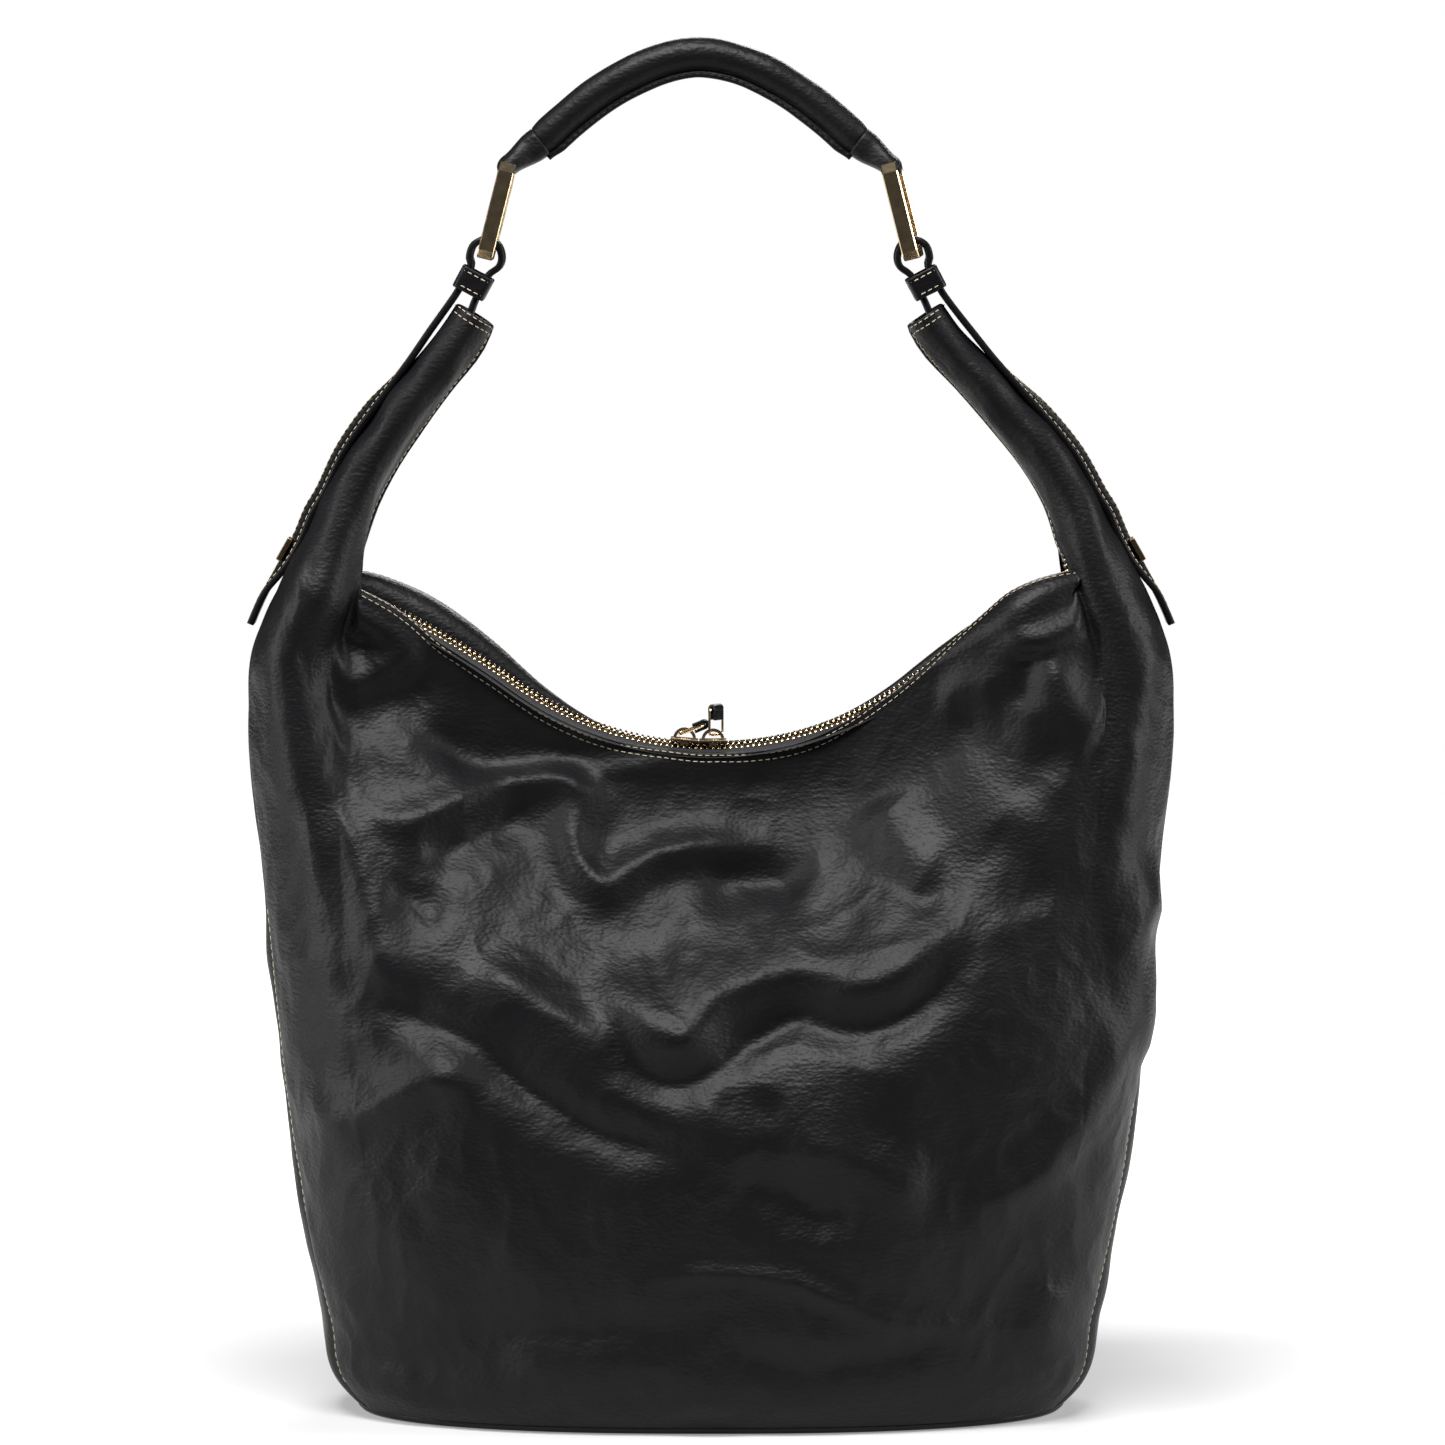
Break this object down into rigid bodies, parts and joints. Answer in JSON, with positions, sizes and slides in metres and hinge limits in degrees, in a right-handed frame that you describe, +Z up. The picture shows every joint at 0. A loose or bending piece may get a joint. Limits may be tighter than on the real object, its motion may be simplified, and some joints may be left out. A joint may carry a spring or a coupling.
{
  "type": "hobo bag",
  "caption": "Slouchy black leather hobo bag with a two-way top zip, gold frame links and a rolled leather shoulder handle.",
  "frame": {"origin": "middle of the base's underside, where the bag stands", "axes": "+Z up along the bag's height, +X along its width, +Y towards the back panel"},
  "size_m": [0.373, 0.161, 0.5486],
  "materials": {
    "leather": "soft black grained leather with a satin sheen",
    "lining": "plain woven lining",
    "board": "fibre board",
    "zip_tape": "black woven tape",
    "gold": "polished pale gold plating",
    "stud_metal": "dark gold",
    "core": "twisted cotton core"
  },
  "bodies": {
    "bag": {"front_panel": "leather", "back_panel": "leather", "gusset_left": "leather", "gusset_right": "leather", "base_panel": "leather", "base_board": "board", "lining": "lining", "zip_tape_front": "zip_tape", "zip_tape_back": "zip_tape", "zip_teeth_front": "gold", "zip_teeth_back": "gold", "zip_stop_left": "gold", "zip_stop_right": "gold"},
    "carry": {"horn_left": "leather", "horn_right": "leather", "strap_left": "leather", "strap_right": "leather", "keeper_left": "leather", "keeper_right": "leather", "stud_left": "stud_metal", "stud_right": "stud_metal"},
    "link_left": {"link_left": "gold"},
    "handle": {"handle_cover": "leather", "handle_core": "core", "handle_loop_left": "leather", "handle_loop_right": "leather"},
    "link_right": {"link_right": "gold"},
    "slider_left": {"slider_left": "gold"},
    "slider_right": {"slider_right": "gold"},
    "pull_left": {"pull_ring_left": "gold", "pull_tab_left": "leather"},
    "pull_right": {"pull_ring_right": "gold", "pull_tab_right": "leather"}
  },
  "joints": [
    {"name": "carry_tilt", "type": "hinge", "parent": "bag", "child": "carry", "pos_m": [0, 0, 0.342], "axis": [1, 0, 0], "range_deg": [-55, 55]},
    {"name": "link_left_swing", "type": "hinge", "parent": "carry", "child": "link_left", "pos_m": [-0.0895, 0, 0.462], "axis": [0, 1, 0], "range_deg": [-14, 14]},
    {"name": "handle_swing", "type": "hinge", "parent": "link_left", "child": "handle", "pos_m": [-0.0805, 0, 0.4975], "axis": [0, 1, 0], "range_deg": [-16, 16]},
    {"name": "link_right_swing", "type": "hinge", "parent": "handle", "child": "link_right", "pos_m": [0.0715, 0, 0.4975], "axis": [0, 1, 0], "range_deg": [-16, 16]},
    {"name": "slider_left_travel", "type": "hinge", "parent": "bag", "child": "slider_left", "pos_m": [0, 0, 0.401], "axis": [0, 1, 0], "range_deg": [0, 31]},
    {"name": "slider_right_travel", "type": "hinge", "parent": "bag", "child": "slider_right", "pos_m": [0, 0, 0.401], "axis": [0, -1, 0], "range_deg": [0, 34]},
    {"name": "pull_left_swing", "type": "hinge", "parent": "slider_left", "child": "pull_left", "pos_m": [-0.01245, 0, 0.27084], "axis": [0, -1, 0], "range_deg": [0, 130]},
    {"name": "pull_right_swing", "type": "hinge", "parent": "slider_right", "child": "pull_right", "pos_m": [0.00197, 0, 0.27063], "axis": [0.6157, 0.788, 0], "range_deg": [0, 50]}
  ],
  "couplings": [
    {"joint": "handle_swing", "follows": "link_left_swing", "ratio": -1.1184},
    {"joint": "link_right_swing", "follows": "link_left_swing", "ratio": 1.1184}
  ]
}
